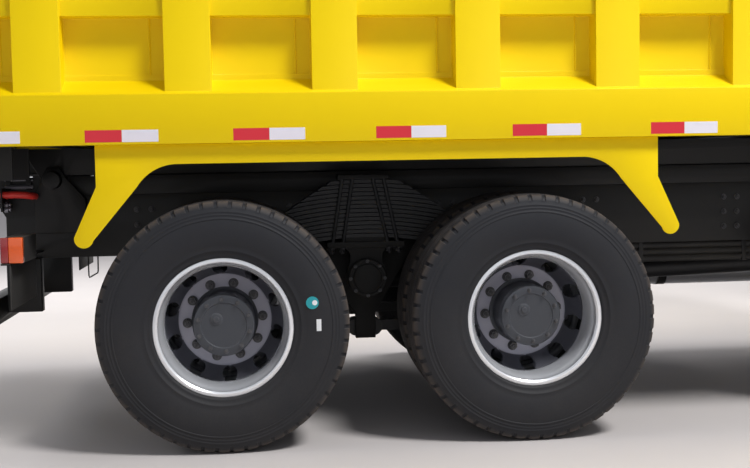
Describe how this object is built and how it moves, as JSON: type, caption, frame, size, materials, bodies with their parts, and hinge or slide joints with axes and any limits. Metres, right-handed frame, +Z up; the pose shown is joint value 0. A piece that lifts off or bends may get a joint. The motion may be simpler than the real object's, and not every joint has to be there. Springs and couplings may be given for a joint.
{
  "type": "three-axle tipping lorry",
  "caption": "Cab-over dump truck with a ribbed steel tipping bed raised by a front telescopic ram, twin-tyred bogie axles and a steered front axle.",
  "frame": {"origin": "on the ground, midway along the lorry and on its centre line", "axes": "+X forwards, +Y to the lorry's left, +Z up"},
  "size_m": [8.2326, 2.94, 3.02],
  "materials": {
    "bed_paint": "yellow gloss paint, dusty and worn",
    "cab_paint": "yellow gloss paint",
    "frame_paint": "black chassis paint, dusty",
    "cast_iron": "dark painted casting",
    "spring_steel": "dark oiled steel",
    "engine": "grey painted casting",
    "dark_plastic": "moulded dark grey plastic",
    "rubber": "black sheet rubber",
    "tyre": "black rubber, dusty shoulders",
    "rim_silver": "silver paint",
    "ram_steel": "ground steel",
    "tank_aluminium": "brushed aluminium",
    "glass": "lightly tinted glass",
    "lamp_clear": "clear lens",
    "lamp_red": "red and amber lens",
    "seat_fabric": "dark woven cloth"
  },
  "bodies": {
    "chassis": {"frame_rails": "frame_paint", "frame_crossmembers": "frame_paint", "cab_mounts": "frame_paint", "bed_subframe": "frame_paint", "tipping_hinge": "frame_paint", "ram_foot_bracket": "frame_paint", "bogie_trunnion": "cast_iron", "rear_leaf_springs": "spring_steel", "rear_axle_housings": "cast_iron", "torque_rods": "spring_steel", "prop_shafts": "spring_steel", "engine_block": "engine", "front_axle_beam": "cast_iron", "front_leaf_springs": "spring_steel", "front_bumper": "dark_plastic", "headlamps": "lamp_clear", "cab_steps": "dark_plastic", "fuel_tank": "tank_aluminium", "battery_box": "frame_paint", "air_tanks": "frame_paint", "rear_guard": "frame_paint", "mud_flaps": "rubber", "tail_lamps": "lamp_red"},
    "bed": {"bed_floor": "bed_paint", "bed_side_left": "bed_paint", "bed_side_right": "bed_paint", "bed_front_wall": "bed_paint", "bed_wheel_skirts": "bed_paint"},
    "tailgate": {"tailgate": "bed_paint"},
    "ram_cover": {"ram_cover": "ram_steel"},
    "ram_stage_one": {"ram_stage_one": "ram_steel"},
    "ram_stage_two": {"ram_stage_two": "ram_steel"},
    "ram_rod": {"ram_rod": "ram_steel"},
    "cab": {"cab_shell": "cab_paint", "cab_glass": "glass", "dashboard": "dark_plastic", "seats": "seat_fabric", "grille": "dark_plastic", "mirrors": "dark_plastic"},
    "door_left": {"door_left": "cab_paint", "door_glass_left": "glass"},
    "door_right": {"door_right": "cab_paint", "door_glass_right": "glass"},
    "knuckle_left": {"knuckle_left": "cast_iron"},
    "knuckle_right": {"knuckle_right": "cast_iron"},
    "tie_rod": {"tie_rod": "spring_steel"},
    "front_wheel_left": {"front_wheel_left": "rim_silver", "front_tyre_left": "tyre"},
    "front_wheel_right": {"front_wheel_right": "rim_silver", "front_tyre_right": "tyre"},
    "middle_wheels_left": {"middle_wheels_left": "rim_silver", "middle_tyres_left": "tyre"},
    "middle_wheels_right": {"middle_wheels_right": "rim_silver", "middle_tyres_right": "tyre"},
    "rear_wheels_left": {"rear_wheels_left": "rim_silver", "rear_tyres_left": "tyre"},
    "rear_wheels_right": {"rear_wheels_right": "rim_silver", "rear_tyres_right": "tyre"}
  },
  "joints": [
    {"name": "middle_wheels_left_spin", "type": "hinge", "parent": "chassis", "child": "middle_wheels_left", "pos_m": [-1.20875, 0.915, 0.542], "axis": [0, 1, 0], "continuous": true},
    {"name": "middle_wheels_right_spin", "type": "hinge", "parent": "chassis", "child": "middle_wheels_right", "pos_m": [-1.20875, -0.915, 0.542], "axis": [0, 1, 0], "continuous": true},
    {"name": "rear_wheels_left_spin", "type": "hinge", "parent": "chassis", "child": "rear_wheels_left", "pos_m": [-2.55875, 0.915, 0.542], "axis": [0, 1, 0], "continuous": true},
    {"name": "rear_wheels_right_spin", "type": "hinge", "parent": "chassis", "child": "rear_wheels_right", "pos_m": [-2.55875, -0.915, 0.542], "axis": [0, 1, 0], "continuous": true},
    {"name": "steer_left", "type": "hinge", "parent": "chassis", "child": "knuckle_left", "pos_m": [2.61625, 0.88, 0.542], "axis": [0, 0, 1], "range_deg": [-35, 35]},
    {"name": "steer_right", "type": "hinge", "parent": "chassis", "child": "knuckle_right", "pos_m": [2.61625, -0.88, 0.542], "axis": [0, 0, 1], "range_deg": [-35, 35]},
    {"name": "tie_rod_pivot", "type": "hinge", "parent": "knuckle_left", "child": "tie_rod", "pos_m": [2.37625, 0.82, 0.4], "axis": [0, 0, 1], "range_deg": [-38, 38]},
    {"name": "front_wheel_left_spin", "type": "hinge", "parent": "knuckle_left", "child": "front_wheel_left", "pos_m": [2.61625, 1.01, 0.542], "axis": [0, 1, 0], "continuous": true},
    {"name": "front_wheel_right_spin", "type": "hinge", "parent": "knuckle_right", "child": "front_wheel_right", "pos_m": [2.61625, -1.01, 0.542], "axis": [0, 1, 0], "continuous": true},
    {"name": "bed_tip", "type": "hinge", "parent": "chassis", "child": "bed", "pos_m": [-3.37375, 0, 1.174], "axis": [0, -1, 0], "range_deg": [0, 45]},
    {"name": "tailgate_swing", "type": "hinge", "parent": "bed", "child": "tailgate", "pos_m": [-4.03525, 0, 2.86], "axis": [0, 1, 0], "range_deg": [0, 50]},
    {"name": "ram_cover_pivot", "type": "hinge", "parent": "bed", "child": "ram_cover", "pos_m": [1.93975, 0, 1.824], "axis": [0, -1, 0], "range_deg": [-23.44, 1]},
    {"name": "ram_stage_one_slide", "type": "slide", "parent": "ram_cover", "child": "ram_stage_one", "axis": [0.0414, 0, -0.9991], "range_m": [0, 1.3499]},
    {"name": "ram_stage_two_slide", "type": "slide", "parent": "ram_stage_one", "child": "ram_stage_two", "axis": [0.0414, 0, -0.9991], "range_m": [0, 1.3499]},
    {"name": "ram_rod_slide", "type": "slide", "parent": "ram_stage_two", "child": "ram_rod", "axis": [0.0414, 0, -0.9991], "range_m": [0, 1.3499]},
    {"name": "cab_tilt", "type": "hinge", "parent": "chassis", "child": "cab", "pos_m": [3.95625, 0, 1.01], "axis": [0, 1, 0], "range_deg": [0, 45]},
    {"name": "door_left_swing", "type": "hinge", "parent": "cab", "child": "door_left", "pos_m": [3.91025, 1.23, 1.9], "axis": [0, 0, -1], "range_deg": [0, 70]},
    {"name": "door_right_swing", "type": "hinge", "parent": "cab", "child": "door_right", "pos_m": [3.91025, -1.23, 1.9], "axis": [0, 0, 1], "range_deg": [0, 70]}
  ],
  "couplings": [
    {"joint": "steer_right", "follows": "steer_left", "ratio": 1},
    {"joint": "tie_rod_pivot", "follows": "steer_left", "ratio": -1.07},
    {"joint": "ram_cover_pivot", "follows": "bed_tip", "ratio": -0.49861},
    {"joint": "ram_stage_one_slide", "follows": "bed_tip", "m_per_rad": 1.706},
    {"joint": "ram_stage_two_slide", "follows": "bed_tip", "m_per_rad": 1.706},
    {"joint": "ram_rod_slide", "follows": "bed_tip", "m_per_rad": 1.706}
  ]
}
